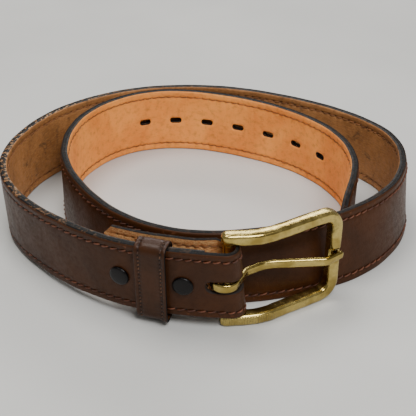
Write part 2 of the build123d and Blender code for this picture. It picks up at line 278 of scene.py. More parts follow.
def tube_faces(ring_count, ring_size, first=0, caps=True):
    """Faces of an open tube of rings, with a flat cap on each end if asked."""
    faces = []
    for ring in range(ring_count - 1):
        here = first + ring * ring_size
        there = here + ring_size
        for k in range(ring_size):
            after = (k + 1) % ring_size
            faces.append((here + k, here + after, there + after, there + k))
    if caps:
        last = first + (ring_count - 1) * ring_size
        faces.append(tuple(range(first + ring_size - 1, first - 1, -1)))
        faces.append(tuple(range(last, last + ring_size)))
    return faces


def thread_tube(line, radius, side, up):
    """Rings of a round thread along a line of points; side and up lie across it."""
    angles = circle(THREAD_SIDES)
    rings = []
    for point, r in zip(line, radius):
        rings.append(point + r * (np.cos(angles)[:, None] * side + np.sin(angles)[:, None] * up))
    return np.array(rings)


def add_tubes(name, tubes, material):
    """One object of many separate tubes, each an array of rings."""
    points, faces = [], []
    for rings in tubes:
        faces += tube_faces(rings.shape[0], rings.shape[1], first=len(points))
        points += rings.reshape(-1, 3).tolist()
    return make_mesh(name, points, faces, [material])


def lathe(profile):
    """Points of rings about z, ring after ring, for a profile of (radius, z) pairs."""
    turns = circle(LATHE_SIDES)
    rings = [pile(r * np.cos(turns), r * np.sin(turns), z + 0 * turns) for r, z in profile]
    return np.concatenate(rings)


def axes_at(station):
    return (axes[0] for axes in strap_axes(np.array([station])))


def on_strap(points, station, offset):
    """Put local points on the strap: x backwards along it, y up the leather, z outward."""
    middle, outward, up = axes_at(station)
    travel = np.cross(outward, up)
    return middle + outward * offset + points @ np.array([-travel, up, outward])


# ---- Material helpers ----

def node(tree, kind, inputs=None, **settings):
    """Add a shader node; an input is a number, a colour or another node's output."""
    made = tree.nodes.new("ShaderNode" + kind)
    for key, value in settings.items():
        setattr(made, key, value)
    for key, value in (inputs or {}).items():
        if isinstance(value, bpy.types.NodeSocket):
            tree.links.new(value, made.inputs[key])
        else:
            made.inputs[key].default_value = value
    return made


def maths(tree, operation, a, b=0.0, clamp=False):
    return node(tree, "Math", {0: a, 1: b}, operation=operation, use_clamp=clamp).outputs[0]


def times(tree, a, b, clamp=False):
    return maths(tree, "MULTIPLY", a, b, clamp)


def plus(tree, a, b):
    return maths(tree, "ADD", a, b)


def solid_place(tree):
    return node(tree, "TexCoord").outputs["Object"]


def number(tree, name):
    return node(tree, "Attribute", attribute_name=name).outputs["Fac"]


def noise(tree, place, scale, detail=3.0, roughness=0.55, distortion=0.0):
    inputs = {"Vector": place, "Scale": scale, "Detail": detail, "Roughness": roughness,
              "Distortion": distortion}
    return node(tree, "TexNoise", inputs).outputs["Fac"]


def spread(tree, value, low, high, to_low=0.0, to_high=1.0):
    """Map low..high to to_low..to_high, held between them and eased."""
    inputs = {0: value, 1: low, 2: high, 3: to_low, 4: to_high}
    return node(tree, "MapRange", inputs, interpolation_type="SMOOTHSTEP").outputs[0]


def mix(tree, share, a, b):
    return node(tree, "Mix", {0: share, 6: a, 7: b}, data_type="RGBA").outputs[2]


def colour(red, green, blue):
    """A linear colour from 0-255 screen values."""
    linear = []
    for screen in (red / 255, green / 255, blue / 255):
        low = screen / 12.92
        high = ((screen + 0.055) / 1.055) ** 2.4
        linear.append(low if screen <= 0.04045 else high)
    return (*linear, 1.0)


def scaled(tree, place, scale):
    """A coordinate scaled on each axis."""
    return node(tree, "VectorMath", {0: place, 1: scale}, operation="MULTIPLY").outputs[0]


def new_material(name):
    material = bpy.data.materials.new(name)
    material.use_nodes = True
    tree = material.node_tree
    return material, tree, tree.nodes["Principled BSDF"]


def set_surface(tree, surface, base, roughness, height, distance):
    """Link colour, roughness and a bump of that height, whose full range is distance millimetres."""
    tree.links.new(base, surface.inputs["Base Color"])
    tree.links.new(roughness, surface.inputs["Roughness"])
    bump = node(tree, "Bump", {"Height": height, "Distance": distance * MM, "Strength": 1.0})
    tree.links.new(bump.outputs[0], surface.inputs["Normal"])


# ---- Materials ----

def leather_place(tree, x_scale=1.0, y_scale=1.0):
    """Texture coordinates in millimetres, along and across the leather."""
    place = {"X": number(tree, "along"), "Y": number(tree, "across"), "Z": 0.0}
    return scaled(tree, node(tree, "CombineXYZ", place).outputs[0], (x_scale, y_scale, 1.0))


PAINT_BLACK = colour(3, 3, 4)


def painted_edge(tree, base, worn_colour):
    """Black edge paint over a base colour, chipped where the leather is worn."""
    paint = number(tree, "paint")
    solid = solid_place(tree)
    chips = spread(tree, noise(tree, solid, 420.0, 5, 0.7), 0.52, 0.6)
    chipped = times(tree, chips, number(tree, "worn"))
    scuff = spread(tree, noise(tree, solid, 900.0, 4, 0.6), 0.35, 0.75)
    black = mix(tree, scuff, PAINT_BLACK, colour(11, 12, 12))
    covered = spread(tree, paint, 0.35, 0.6)
    return mix(tree, covered, base, mix(tree, chipped, black, worn_colour))


def grain_leather(name, dark, light, deep, coat):
    """Waxed top-grain leather: cloudy dye, fine pores, pull-up marks, painted shade darkening the stitch
    holes.
    """
    material, tree, surface = new_material(name)
    place = leather_place(tree)
    cloud = spread(tree, noise(tree, place, 0.035, 4, 0.6, 0.6), 0.3, 0.7)
    mottle = noise(tree, place, 0.35, 5, 0.65)
    base = mix(tree, cloud, dark, light)
    base = mix(tree, spread(tree, mottle, 0.45, 0.75, 0, 0.28), base, deep)
    streaks = noise(tree, leather_place(tree, 0.05, 0.6), 1.0, 4, 0.6)
    base = mix(tree, spread(tree, streaks, 0.55, 0.8, 0, 0.2), base, deep)
    rubbed = times(tree, spread(tree, mottle, 0.55, 0.7), number(tree, "rim"))
    base = mix(tree, times(tree, rubbed, 0.5), base, colour(150, 92, 60))
    # painted shade: the stitch holes are darkened to near black, as if shaded inside
    base = mix(tree, times(tree, number(tree, "dent"), 0.9, True), base, colour(16, 9, 7))
    base = painted_edge(tree, base, colour(176, 124, 78))
    rough = spread(tree, mottle, 0.3, 0.75, 0.36, 0.56)
    rough = plus(tree, rough, times(tree, number(tree, "paint"), 0.3))
    cells = node(tree, "TexVoronoi", {"Vector": place, "Scale": 1.5}).outputs["Distance"]
    fine = noise(tree, place, 2.4, 4, 0.6)
    creases = noise(tree, leather_place(tree, 0.9, 0.12), 1.0, 3, 0.5)
    height = plus(tree, times(tree, cells, 0.45), times(tree, fine, 0.6))
    height = plus(tree, height, times(tree, creases, 0.5))
    set_surface(tree, surface, base, rough, height, 0.12)
    surface.inputs["Specular IOR Level"].default_value = 0.16
    surface.inputs["Coat Weight"].default_value = coat
    surface.inputs["Coat Roughness"].default_value = 0.22
    return material


def lining_leather():
    """Natural tan lining: clean and orange on the inner turn, browner and rubbed on the outer turn."""
    material, tree, surface = new_material("lining_leather")
    place = leather_place(tree)
    aged = number(tree, "aged")
    cloud = spread(tree, noise(tree, place, 0.03, 4, 0.6, 0.4), 0.3, 0.7)
    mottle = noise(tree, place, 0.28, 5, 0.65)
    clean = mix(tree, cloud, colour(230, 134, 46), colour(255, 168, 74))
    old = mix(tree, cloud, colour(132, 84, 44), colour(180, 122, 72))
    base = mix(tree, aged, clean, old)
    stain = spread(tree, mottle, 0.46, 0.72, 0, 0.42)
    base = mix(tree, stain, base, colour(136, 74, 28))
    smudge = spread(tree, noise(tree, place, 0.075, 5, 0.72, 1.2), 0.54, 0.68)
    smudge = times(tree, smudge, times(tree, aged, 0.75))
    base = mix(tree, smudge, base, colour(62, 44, 32))
    fibre = noise(tree, leather_place(tree, 0.35, 1.3), 1.0, 5, 0.7)
    base = mix(tree, spread(tree, fibre, 0.35, 0.7, 0, 0.3), base, colour(244, 172, 96))
    # painted shade: the stitch holes are darkened to dark brown, as if shaded inside
    base = mix(tree, times(tree, number(tree, "dent"), 0.85, True), base, colour(58, 34, 18))
    base = painted_edge(tree, base, colour(206, 160, 112))
    rough = spread(tree, mottle, 0.3, 0.75, 0.55, 0.78)
    creases = noise(tree, leather_place(tree, 0.5, 0.05), 1.0, 3, 0.5)
    nap = noise(tree, place, 1.6, 5, 0.7)
    height = plus(tree, times(tree, creases, 0.8), times(tree, nap, 0.8))
    set_surface(tree, surface, base, rough, height, 0.4)
    return material


def flesh_leather():
    """The undyed flesh side: loose orange-tan fibres."""
    material, tree, surface = new_material("flesh_leather")
    place = leather_place(tree)
    fibre = noise(tree, leather_place(tree, 0.5, 1.1), 1.0, 6, 0.75, 1.5)
    clumps = noise(tree, place, 0.7, 5, 0.7, 0.8)
    base = mix(tree, spread(tree, fibre, 0.3, 0.7), colour(214, 124, 60), colour(255, 212, 146))
    base = mix(tree, spread(tree, clumps, 0.55, 0.75, 0, 0.7), base, colour(140, 66, 24))
    # painted shade: the stitch holes are darkened, as if shaded inside
    base = mix(tree, times(tree, number(tree, "dent"), 0.85, True), base, colour(40, 22, 12))
    base = painted_edge(tree, base, colour(206, 150, 98))
    height = plus(tree, fibre, clumps)
    set_surface(tree, surface, base, spread(tree, clumps, 0.2, 0.8, 0.75, 0.95), height, 1.2)
    return material


def hole_wall_shade():
    """The cut wall of a punched hole, painted dark brown as the shade inside the opening."""
    material, tree, surface = new_material("hole_wall_shade")
    grain = noise(tree, solid_place(tree), 2600.0, 4, 0.7)
    # painted shade: near-black browns stand in for the shade inside the holes and the slot
    base = mix(tree, spread(tree, grain, 0.35, 0.7), colour(16, 11, 9), colour(46, 30, 20))
    set_surface(tree, surface, base, spread(tree, grain, 0.2, 0.8, 0.7, 0.9), grain, 0.2)
    return material


def sewing_thread(name, dark, light):
    """Waxed thread: two plies twisted, with dirt between them."""
    material, tree, surface = new_material(name)
    place = solid_place(tree)
    twist = noise(tree, place, 2400.0, 3, 0.6)
    tone = noise(tree, place, 160.0, 3, 0.5)
    base = mix(tree, spread(tree, tone, 0.35, 0.65), dark, light)
    base = mix(tree, spread(tree, twist, 0.5, 0.7, 0, 0.6), base, colour(26, 14, 10))
    set_surface(tree, surface, base, spread(tree, twist, 0.3, 0.7, 0.5, 0.7), twist, 0.15)
    return material


def polished_metal(name, low, high, tarnish, rough_low, rough_high, metallic=1.0):
    """Metal with cloudy tarnish, hairline scratches and small dings."""
    material, tree, surface = new_material(name)
    place = solid_place(tree)
    cloud = noise(tree, place, 110.0, 5, 0.6)
    scratches = noise(tree, scaled(tree, place, (220.0, 220.0, 3400.0)), 1.0, 3, 0.6)
    dings = noise(tree, place, 620.0, 3, 0.5)
    base = mix(tree, spread(tree, cloud, 0.3, 0.7), low, high)
    base = mix(tree, spread(tree, cloud, 0.56, 0.75, 0, 0.7), base, tarnish)
    handled = plus(tree, times(tree, cloud, 0.6), times(tree, scratches, 0.4))
    rough = spread(tree, handled, 0.35, 0.65, rough_low, rough_high)
    height = plus(tree, times(tree, scratches, 0.5), dings)
    set_surface(tree, surface, base, rough, height, 0.05)
    surface.inputs["Metallic"].default_value = metallic
    return material, tree, surface, height


def brass():
    """Cast brass, polished and a little dull, with file marks where the mesh's filed attribute is 1."""
    material, tree, surface, height = polished_metal(
        "brass", colour(150, 128, 66), colour(206, 184, 112), colour(74, 60, 26), 0.12, 0.3)
    wave = maths(tree, "SINE", times(tree, number(tree, "run"), 5.2))
    uneven = noise(tree, solid_place(tree), 700.0, 3, 0.6)
    marks = times(tree, times(tree, wave, uneven), number(tree, "filed"))
    filed = plus(tree, height, times(tree, marks, 7.0))
    bump = surface.inputs["Normal"].links[0].from_node
    tree.links.new(filed, bump.inputs["Height"])
    return material


def build_materials():
    return {
        "grain": grain_leather(
            "grain_leather", colour(56, 30, 11), colour(70, 38, 15), colour(34, 16, 6), 0.05),
        "keeper": grain_leather(
            "keeper_leather", colour(50, 27, 10), colour(66, 36, 15), colour(28, 13, 6), 0.12),
        "lining": lining_leather(),
        "flesh": flesh_leather(),
        # wall: painted shade for the cut walls of the holes and the slot
        "wall": hole_wall_shade(),
        "thread": sewing_thread("waxed_thread", colour(72, 36, 20), colour(118, 66, 40)),
        "keeper_thread": sewing_thread("keeper_thread", colour(50, 27, 15), colour(104, 66, 38)),
        "lining_thread": sewing_thread("lining_thread", colour(112, 70, 38), colour(166, 108, 62)),
        "gunmetal": polished_metal(
            "gunmetal", colour(12, 10, 11), colour(20, 17, 18), colour(8, 7, 7), 0.24, 0.4, 0.6)[0],
        "steel": polished_metal(
            "drawn_wire", colour(150, 150, 152), colour(190, 190, 192), colour(104, 98, 92), 0.25, 0.45)[0],
        "brass": brass(),
    }


MATERIAL = build_materials()


# ---- Strap ----

EDGE_ROUND = 1.15
LINING_ROUND = 0.9
GLUED_ROUND = (0.12, 0.05)               # at the glue line: the face's edge and the lining's
COLUMNS = [0, 1, 2, 3, 4.5, 6.5, 8.5, 10.5, 12.3, 13.6, 14.45, 14.8, 15.05, 15.3, 15.65, 16.4,
           17.3, 17.9, 18.4, 18.75, 18.97, 19.05]
COLUMNS = np.array([-c for c in COLUMNS[:0:-1]] + COLUMNS)
SUNK_STITCHES = (95.0, 330.0)            # stations between which the stitches lie deep in the grain
FOLD_ROWS = 41
TIP_ROWS = 26
ROW_CLEARANCE = 0.45


def ripple(along, across):
    """Slight unevenness of worn leather, the same through its whole thickness, in millimetres."""
    calm = smooth_step(np.abs(along - KEEPER_STATION) / 30 - 0.3)
    long_wave = 0.13 * np.sin(0.11 * along + 0.09 * across)
    short_wave = 0.07 * np.sin(0.29 * along - 0.17 * across + 1)
    return calm * (long_wave + short_wave)


def outline_half(along):
    """Half the leather's width: an ellipse at the tip, clipped corners at the flap's end."""
    past = np.clip((along - STRAP_END + TIP_LENGTH) / TIP_LENGTH, 0, 1)
    clip = np.clip(FLAP_CLIP - (along - FLAP_ALONG), 0, FLAP_CLIP)
    return HALF_WIDTH * np.sqrt(1 - past ** 2) - clip


def edge_distance(along, across):
    """How far a point is from the leather's outline."""
    straight = HALF_WIDTH - np.abs(across)
    past = np.clip(along - STRAP_END + TIP_LENGTH, 0, None) / TIP_LENGTH
    size = np.maximum(np.hypot(past, across / HALF_WIDTH), 1e-6)
    slope = np.hypot(past / TIP_LENGTH, across / HALF_WIDTH ** 2) / size
    tip = (1 - size) / np.maximum(slope, 1e-6)
    end = along - FLAP_ALONG
    corner = (end + straight - FLAP_CLIP) / math.sqrt(2)
    near = np.where(past > 0, np.minimum(straight, tip), straight)
    return np.maximum(0, np.minimum.reduce([near, end, corner]))


def edge_drop(distance, radius):
    """How far a rounded edge of that radius has fallen at a distance from the outline."""
    inside = np.clip(radius - distance, 0, radius)
    return radius - np.sqrt(np.maximum(radius ** 2 - inside ** 2, 0))


def stitch_phase(along):
    """Distance along the leather to the nearest stitch hole."""
    place = (along - STITCH_START) / STITCH_PITCH
    return (place - np.round(place)) * STITCH_PITCH


def dents(along, across):
    """1 in the middle of a stitch hole, falling to 0 around it."""
    beside = np.abs(across) - STITCH_LINE
    sewn = (along <= STITCH_END + 1) & (along >= FLAP_ALONG + 5)
    return sewn * np.exp(-(stitch_phase(along) / 0.75) ** 2 - (beside / 0.5) ** 2)


def groove(along, across):
    """Depth that the stitching pulls the surface in."""
    beside = np.abs(across) - STITCH_LINE
    sewn = smooth_step((STITCH_END + 4 - along) / 4)
    row = 0.2 * np.exp(-(beside / 0.5) ** 2) + 0.1 * np.exp(-(beside / 1.6) ** 2)
    return sewn * row + 0.5 * dents(along, across)


SLOT_MIDDLE = (SLOT_FRONT + SLOT_REAR) / 2
SLOT_HALF = (SLOT_FRONT - SLOT_REAR) / 2
SLOT_BLOCK = (SLOT_HALF, 3.0)            # half size of the grid rectangle that each opening replaces
HOLE_BLOCK = (3.5, 2.0)
SLOT_ROWS = [side * (SLOT_HALF - inward) for side in (-1, 1) for inward in (3, 2, 1, 0, -1)]
HOLE_ROWS = [-5.5, -4.5, -3.5, -2.75, -2, -1, 0, 1, 2, 2.75, 3.5, 4.5, 5.5]


def opening_list():
    """Centre, half length, half height, and the grid rectangle that each punched opening replaces."""
    found = [(SLOT_MIDDLE, SLOT_HALF, SLOT_HEIGHT / 2, *SLOT_BLOCK)]
    for index in range(HOLE_COUNT):
        found.append((FIRST_HOLE + index * HOLE_SPACING, HOLE_LENGTH / 2, HOLE_HEIGHT / 2, *HOLE_BLOCK))
    return found


OPENINGS = opening_list()


def opening_rows(rows, middle, steps, stretches):
    """Rows with those in the stretches about an opening's middle replaced by its own steps."""
    for low, high in stretches:
        below = middle + low - ROW_CLEARANCE
        above = middle + high + ROW_CLEARANCE
        rows = [row for row in rows if not below < row < above]
    return rows + [middle + step for step in steps]


def leather_rows(start):
    """Places along the leather for the mesh's rows, closer at the ends, the fold and the openings."""
    quarter = STITCH_PITCH / 4
    rows = list(STITCH_START + quarter * np.arange(-8, 4 * STITCH_COUNT + 1))
    if start < 0:
        rows += list(np.linspace(-FOLD_LENGTH, 0, FOLD_ROWS))
        rows += [FLAP_ALONG + d for d in (0, 0.1, 0.35, 0.75, 1.4, 2.5, 3.75, 5.0)]
        rows += list(np.arange(FLAP_ALONG + 6, -FOLD_LENGTH - 0.5, quarter))
    else:
        rows += [start + d for d in (0, 0.1, 0.4, 0.9)]
    for angle in np.linspace(0, 88.5, TIP_ROWS)[1:]:
        rows.append(STITCH_END + TIP_LENGTH * math.sin(math.radians(angle)))
    slot_ends = [(-SLOT_HALF - 1, 3 - SLOT_HALF), (SLOT_HALF - 3, SLOT_HALF + 1)]
    rows = opening_rows(rows, SLOT_MIDDLE, SLOT_ROWS, slot_ends)
    for middle, *_ in OPENINGS[1:]:
        rows = opening_rows(rows, middle, HOLE_ROWS, [(HOLE_ROWS[0], HOLE_ROWS[-1])])
    return np.array(sorted(row for row in rows if start - 1e-9 <= row))


def shape_opening(along, across, middle, half, high, block, rows):
    """Move grid points near an opening so that its rectangle of cells becomes a slot with round ends."""
    straight = half - high
    dx = along - middle
    x = np.maximum(np.abs(dx) - straight, 0)
    size = np.maximum(x / max(block - straight, 1e-6), np.abs(across) / rows)
    reach = 1.9
    share = np.clip((reach - size) / (reach - 1), 0, 1) * (size >= 0.999)
    length = np.maximum(np.hypot(x, across), 1e-9)
    rim_x, rim_y = x / length * high, across / length * high
    old_x, old_y = x / np.maximum(size, 1e-9), across / np.maximum(size, 1e-9)
    near = np.abs(dx) < block + 4
    along = along + np.where(near, np.sign(dx) * (rim_x - old_x) * share, 0)
    across = across + np.where(near, (rim_y - old_y) * share, 0)
    return along, across


def inside_opening(along, across):
    """True for cells, by their middles, that an opening takes away."""
    for middle, _, _, block, rows in OPENINGS:
        if abs(along - middle) < block and abs(across) < rows:
            return True
    return False


def make_ply(name, start, top, bottom, rounds, sewn, materials):
    """One ply as a closed mesh. rounds are its outer and inner edge radii, sewn the grooved sides,
    and materials those of its outer side, inner side and punched walls."""
    rows = leather_rows(start)
    row_count, column_count = len(rows), len(COLUMNS)
    base_along = np.repeat(rows[:, None], column_count, axis=1)
    base_across = COLUMNS * (outline_half(rows) / HALF_WIDTH)[:, None]
    along, across = base_along, base_across
    for opening in OPENINGS:
        along, across = shape_opening(along, across, *opening)
    distance = edge_distance(along, across)
    if start > 0:
        distance = np.minimum(distance, along - start)
    pull = groove(along, across)
    wave = ripple(along, across)
    outer = top - edge_drop(distance, rounds[0]) - pull * sewn[0] + wave
    inner = bottom + edge_drop(distance, rounds[1]) + pull * sewn[1] + wave
    points = np.concatenate([leather_point(along, across, outer), leather_point(along, across, inner)])
    points = points.reshape(-1, 3)
    points[:, 2] = np.maximum(points[:, 2], 0)
    under = row_count * column_count

    def corner(row, column, layer):
        return layer * under + row * column_count + column

    faces, slots = [], []
    for row in range(row_count - 1):
        middle = (rows[row] + rows[row + 1]) / 2
        for column in range(column_count - 1):
            if inside_opening(middle, (COLUMNS[column] + COLUMNS[column + 1]) / 2):
                continue
            for layer in (0, 1):
                face = [corner(row, column, layer), corner(row + 1, column, layer),
                        corner(row + 1, column + 1, layer), corner(row, column + 1, layer)]
                faces.append(face if layer else face[::-1])
                slots.append(layer)
    walls = open_edges([face for face, slot in zip(faces, slots) if slot == 0])
    for a, b in walls:
        row, column = divmod(a, column_count)
        on_outline = column in (0, column_count - 1) or row in (0, row_count - 1)
        faces.append([b, a, a + under, b + under])
        slots.append(1 if on_outline else 2)
    paint = 1 - smooth_step(distance / 0.42)
    rim = np.exp(-((distance - 1.9) / 0.9) ** 2)
    aged = 1 - smooth_step((along - 500) / 60)
    # the stitch-hole mask is also stored to paint shade into the holes
    values = {"along": along, "across": across, "paint": paint, "rim": rim, "dent": dents(along, across),
              "worn": wear(along), "aged": aged}
    both_sides = {key: np.concatenate([value, value]) for key, value in values.items()}
    return make_mesh(name, points, faces, materials, slots, **both_sides)


def open_edges(faces):
    """Directed edges that only one of the faces has."""
    edges = {}
    for face in faces:
        for a, b in zip(face, face[1:] + face[:1]):
            if (b, a) in edges:
                del edges[b, a]
            else:
                edges[a, b] = True
    return list(edges)


def wear(along):
    """How chipped the edge paint is: most at the left of the outer turn."""
    left = np.exp(-((along - 190) / 80) ** 2)
    return np.clip(0.05 + 0.85 * left, 0, 1)


def make_stitch(start, row, surface, away, radius, sunk, slant):
    """One stitch from a hole to the next. away is 1 on the grain and -1 on the inside."""
    shares = np.array([0.0, 0.1, 0.28, 0.5, 0.72, 0.9, 1.0])
    rise = np.array([-0.75, -0.2, 0.12, 0.18, 0.12, -0.2, -0.75]) - sunk
    along = start + 0.25 + shares * (STITCH_PITCH - 0.5)
    across = row * STITCH_LINE + slant * (0.5 - shares)
    offset = surface + away * rise + ripple(along, across)
    line = leather_point(along, across, offset)
    _, outward, up = leather_axes(np.array([start + STITCH_PITCH / 2]))
    widths = radius * np.array([0.6, 0.9, 1.0, 1.05, 1.0, 0.9, 0.6])
    return thread_tube(line, widths, up[0], outward[0])


def make_stitch_row(row, name, node_name):
    """Every stitch of one row: on the grain, and where it shows on the lining or the flesh."""
    shuffle = random.Random(7 if row > 0 else 8)
    grain, inside = [], []
    for index in range(-FLAP_STITCHES, STITCH_COUNT):
        start = STITCH_START + index * STITCH_PITCH
        deep = smooth_step((start - SUNK_STITCHES[0]) / 40) * smooth_step((SUNK_STITCHES[1] - start) / 60)
        sunk = 0.3 * float(deep) + shuffle.uniform(0, 0.1)
        slant = shuffle.uniform(0.8, 1.15)
        grain.append(make_stitch(start, row, 0.0, 1, 0.4, sunk, slant))
        surface = -STRAP_THICK if start > LINING_START else -FACE_THICK
        inside.append(make_stitch(start, row, surface, -1, 0.26, shuffle.uniform(0.05, 0.2), -0.3))
    piece = add_tubes(name, grain, MATERIAL["thread"])
    finish_piece(piece, "strap", "thread", node_name)
    within = add_tubes(name + "_inside", inside, MATERIAL["lining_thread"])
    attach(within, "strap")


def make_strap():
    face = make_ply("belt_face", FLAP_ALONG, 0.0, -FACE_THICK, (EDGE_ROUND, GLUED_ROUND[0]), (1, 1),
                    [MATERIAL["grain"], MATERIAL["flesh"], MATERIAL["wall"]])
    finish_piece(face, "strap", "grain_leather", "strap_face")
    lining = make_ply("belt_lining", LINING_START, -FACE_THICK - GLUE_LINE, -STRAP_THICK,
                      (GLUED_ROUND[1], LINING_ROUND), (0, 1),
                      [MATERIAL["flesh"], MATERIAL["lining"], MATERIAL["wall"]])
    finish_piece(lining, "strap", "lining_leather", "strap_lining")
    make_stitch_row(1, "upper_stitches", "upper_stitching")
    make_stitch_row(-1, "lower_stitches", "lower_stitching")


# ---- Swept shapes ----

def rounded_path(points, radii, step):
    """Places and directions along straight runs joined by arcs, about a step apart."""
    points = [np.array(p, float) for p in points]
    places, ways = [], []
    last = points[0]
    for index in range(1, len(points)):
        run = points[index] - points[index - 1]
        way = run / np.linalg.norm(run)
        if index == len(points) - 1:
            stop = points[index]
        else:
            onward = points[index + 1] - points[index]
            onward /= np.linalg.norm(onward)
            turn = math.acos(np.clip(way @ onward, -1, 1))
            radius = radii[index - 1]
            stop = points[index] - way * radius * math.tan(turn / 2)
        count = max(1, round(np.linalg.norm(stop - last) / step))
        for k in range(count):
            places.append(last + (stop - last) * k / count)
            ways.append(way)
        last = stop
        if index < len(points) - 1:
            across = onward - way * (way @ onward)
            across /= np.linalg.norm(across)
            count = max(6, round(radius * turn / step))
            for k in range(count):
                angle = turn * k / count
                places.append(stop + radius * (across * (1 - math.cos(angle)) + way * math.sin(angle)))
                ways.append(way * math.cos(angle) + across * math.sin(angle))
            last = points[index] + onward * radius * math.tan(turn / 2)
    places.append(points[-1])
    ways.append(way)
    return np.array(places), np.array(ways)


def rounded_section(width, height, radius, crown=0.08):
    """Points round a rectangle with rounded corners and slightly crowned sides."""
    corners = [(1, 1, 0), (-1, 1, 90), (-1, -1, 180), (1, -1, 270)]
    points = []
    for sx, sy, start in corners:
        for angle in np.radians(np.linspace(start, start + 90, 7)):
            points.append((sx * (width / 2 - radius) + radius * math.cos(angle),
                           sy * (height / 2 - radius) + radius * math.sin(angle)))
        x, y = points[-1]
        for share in (0.25, 0.5, 0.75):
            bulge = crown * 4 * share * (1 - share)
            if start in (0, 180):
                points.append((x * (1 - 2 * share), y + sy * bulge))
            else:
                points.append((x + sx * bulge, y * (1 - 2 * share)))
    return np.array(points)


def sweep_rings(places, ways, section, normal, sizes):
    """Rings of a section along a path; its second axis is kept near the normal."""
    rings = []
    for place, way, size in zip(places, ways, sizes):
        out = normal - way * (way @ normal)
        out /= np.linalg.norm(out)
        side = np.cross(out, way)
        rings.append(place + size * (section[:, :1] * side + section[:, 1:] * out))
    return np.array(rings)


def run_lengths(places):
    """Distance along a path at each of its places."""
    return np.concatenate([[0], np.cumsum(np.linalg.norm(np.diff(places, axis=0), axis=1))])


def blunt_end(distance, length, least):
    """The size of a section near a rounded end."""
    left = np.clip(1 - distance / length, 0, 1)
    return least + (1 - least) * np.sqrt(1 - left ** 2)


def add_centre_caps(points, faces, ring_size, ring_count):
    """Close a tube's ends with fans about their middles."""
    for ring, flip in ((0, True), (ring_count - 1, False)):
        first = ring * ring_size
        centre = len(points)
        points = np.concatenate([points, points[first : first + ring_size].mean(0)[None]])
        for k in range(ring_size):
            a, b = first + k, first + (k + 1) % ring_size
            faces.append((b, a, centre) if flip else (a, b, centre))
    return points, faces


def buckle_place(points):
    """Buckle-frame coordinates to the row frame: x along the frame, y up, z outward."""
    along = np.array([math.cos(FRAME_ANGLE), math.sin(FRAME_ANGLE), 0])
    out = np.array([math.sin(FRAME_ANGLE), -math.cos(FRAME_ANGLE), 0])
    axes = np.array([along, [0, 0, 1], out])
    return np.array([BAR_X, BAR_Y, BAR_Z]) + points @ axes


def buckle_bar():
    """Points of the round bar that the leather folds round, ring after ring from the top down."""
    turns = circle(BAR_SIDES)
    reach = FRAME_WINDOW / 2 + BAR_SUNK
    levels = np.linspace(reach, -reach, BAR_RINGS)[:, None]
    return pile(BAR_R * np.cos(turns), levels, BAR_R * np.sin(turns)).reshape(-1, 3)


def hand_work(points):
    """Cast brass worked by hand: the notch for the tongue, and uneven faces."""
    x, y, z = points.T
    in_notch = 1 - smooth_step((np.abs(y) - TONGUE_WIDTH / 2) / 0.9)
    on_face = (x > FRAME_REACH - 4.5) * smooth_step((z - 1.2) / 1.2)
    uneven = 0.07 * np.sin(x * 0.31 + y * 0.2) + 0.05 * np.sin(x * 0.9 + 2)
    return pile(x, y, z - NOTCH_DEPTH * in_notch * on_face + uneven)


def make_buckle_frame():
    """Both rails and the end bar in one sweep, with the bar that the leather folds round."""
    rail = (FRAME_WINDOW + RAIL_HEIGHT) / 2
    left = -RAIL_DEPTH / 2
    upper = [(left, rail, left * KNEE_RISE / KNEE_OUT), (KNEE_OUT, rail, KNEE_RISE), (FRAME_REACH, rail, 0)]
    lower = [(x, -y, z) for x, y, z in reversed(upper)]
    bends = [KNEE_BEND, CORNER_BEND, CORNER_BEND, KNEE_BEND]
    places, ways = rounded_path(upper + lower, bends, SWEEP_STEP)
    run = run_lengths(places)
    section = rounded_section(RAIL_HEIGHT, RAIL_DEPTH, RAIL_ROUND)
    sizes = blunt_end(np.minimum(run, run[-1] - run), RAIL_END_LENGTH, 0.3)
    rings = sweep_rings(places, ways, section, np.array([0, 0, 1.0]), sizes)
    points = hand_work(rings.reshape(-1, 3))
    under_rail = points[:, 1] < -FRAME_WINDOW / 2 - 1.0
    filed = smooth_step((26 - points[:, 0]) / 8) * under_rail
    faces = tube_faces(len(rings), len(section), caps=False)
    points, faces = add_centre_caps(points, faces, len(section), len(rings))
    faces += tube_faces(BAR_RINGS, BAR_SIDES, first=len(points))
    points = np.concatenate([points, buckle_bar()])
    plain = np.zeros(BAR_RINGS * BAR_SIDES)
    runs = np.concatenate([np.repeat(run, len(section)), [0, run[-1]], plain])
    filed = np.concatenate([filed, [0, 1], plain])
    piece = make_mesh("buckle_casting", buckle_place(points), faces, [MATERIAL["brass"]],
                      run=runs, filed=filed)
    finish_piece(piece, "frame", "brass", "buckle_frame")


